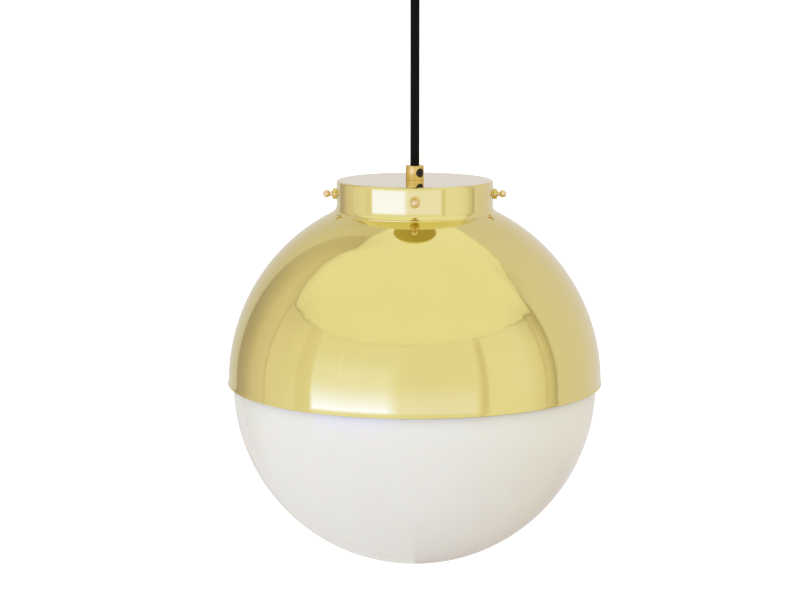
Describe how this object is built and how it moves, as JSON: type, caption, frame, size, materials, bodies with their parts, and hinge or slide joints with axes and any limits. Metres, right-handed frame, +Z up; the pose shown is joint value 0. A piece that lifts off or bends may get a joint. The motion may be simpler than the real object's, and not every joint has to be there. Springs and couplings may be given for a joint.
{
  "type": "pendant ceiling light",
  "caption": "Pendant ceiling light: an opal glass globe under a spun brass dome, carried by a brass gallery with ball-headed thumbscrews on a black textile flex and ceiling rose.",
  "frame": {"origin": "centre of the face that rests on the ceiling", "axes": "+Z up, out of the ceiling face; -Y towards the front; the lamp hangs along -Z"},
  "size_m": [0.3096, 0.3096, 0.5178],
  "materials": {
    "polished_brass": "polished and lacquered spun brass, pale yellow",
    "turned_brass": "turned brass, satin to polished",
    "opal_glass": "glossy opal white blown glass",
    "zinc_steel": "zinc plated steel",
    "nickel": "nickel plated",
    "black_braid": "black textile braid over a round flex",
    "black_nylon": "black nylon",
    "brown_core": "brown core insulation",
    "blue_core": "blue core insulation",
    "green_core": "green and yellow core insulation",
    "cork": "cork composition ring",
    "porcelain": "glazed porcelain",
    "white_plastic": "white moulded plastic",
    "bulb_opal": "opal diffuser",
    "black_glass": "black glass insulator"
  },
  "bodies": {
    "ceiling": {"ceiling_bracket": "zinc_steel", "rose_cup": "polished_brass", "terminal_block": "white_plastic", "rose_cord_grip": "turned_brass", "rose_grip_screw": "black_nylon", "rose_nipple": "zinc_steel", "rose_nipple_nut": "turned_brass", "rose_side_screw_right": "turned_brass", "rose_side_screw_left": "turned_brass", "terminal_screw_live": "zinc_steel", "terminal_screw_neutral": "zinc_steel", "terminal_screw_earth": "zinc_steel", "rose_core_live": "brown_core", "rose_core_neutral": "blue_core", "rose_core_earth": "green_core", "rose_cord_end": "black_braid"},
    "cord_top": {"flex_cord_top": "black_braid"},
    "cord": {"flex_cord": "black_braid"},
    "lamp": {"gallery": "polished_brass", "dome_shade": "polished_brass", "cord_grip": "turned_brass", "screw_collar_right": "turned_brass", "screw_collar_back": "turned_brass", "screw_collar_left": "turned_brass", "screw_collar_front": "turned_brass", "nipple_nut": "turned_brass", "holder_cap": "turned_brass", "holder_body": "turned_brass", "holder_shell": "turned_brass", "holder_contact": "turned_brass", "lamp_nipple": "zinc_steel", "nipple_washer": "zinc_steel", "holder_screw_live": "zinc_steel", "holder_screw_neutral": "zinc_steel", "holder_screw_earth": "zinc_steel", "lamp_cord_end": "black_braid", "cord_grip_screw": "black_nylon", "lamp_core_live": "brown_core", "lamp_core_neutral": "blue_core", "lamp_core_earth": "green_core", "neck_gasket": "cork", "holder_insert": "porcelain"},
    "globe": {"opal_globe": "opal_glass"},
    "bulb": {"bulb_contact": "nickel", "bulb_insulator": "black_glass", "bulb_cap": "nickel", "bulb_body": "white_plastic", "bulb_diffuser": "bulb_opal"},
    "screw_right": {"thumbscrew_right": "turned_brass"},
    "screw_back": {"thumbscrew_back": "turned_brass"},
    "screw_left": {"thumbscrew_left": "turned_brass"},
    "screw_front": {"thumbscrew_front": "turned_brass"}
  },
  "joints": [
    {"name": "swing_front_back", "type": "hinge", "parent": "ceiling", "child": "cord_top", "pos_m": [0, 0, -0.037], "axis": [1, 0, 0], "range_deg": [-15, 15]},
    {"name": "swing_sideways", "type": "hinge", "parent": "cord_top", "child": "cord", "pos_m": [0, 0, -0.0502], "axis": [0, 1, 0], "range_deg": [-15, 15]},
    {"name": "lamp_twist", "type": "hinge", "parent": "cord", "child": "lamp", "pos_m": [0, 0, -0.187], "axis": [0, 0, 1], "range_deg": [-90, 90], "stiffness_Nm_per_rad": 0.02},
    {"name": "screw_right_out", "type": "slide", "parent": "lamp", "child": "screw_right", "axis": [1, 0, 0], "range_m": [0, 0.006]},
    {"name": "screw_back_out", "type": "slide", "parent": "lamp", "child": "screw_back", "axis": [0, 1, 0], "range_m": [0, 0.006]},
    {"name": "screw_left_out", "type": "slide", "parent": "lamp", "child": "screw_left", "axis": [-1, 0, 0], "range_m": [0, 0.006]},
    {"name": "screw_front_out", "type": "slide", "parent": "lamp", "child": "screw_front", "axis": [0, -1, 0], "range_m": [0, 0.006]},
    {"name": "globe_drop", "type": "slide", "parent": "lamp", "child": "globe", "axis": [0, 0, -1], "range_m": [0, 0.175]},
    {"name": "bulb_unscrew", "type": "slide", "parent": "lamp", "child": "bulb", "axis": [0, 0, -1], "range_m": [0, 0.031]}
  ]
}
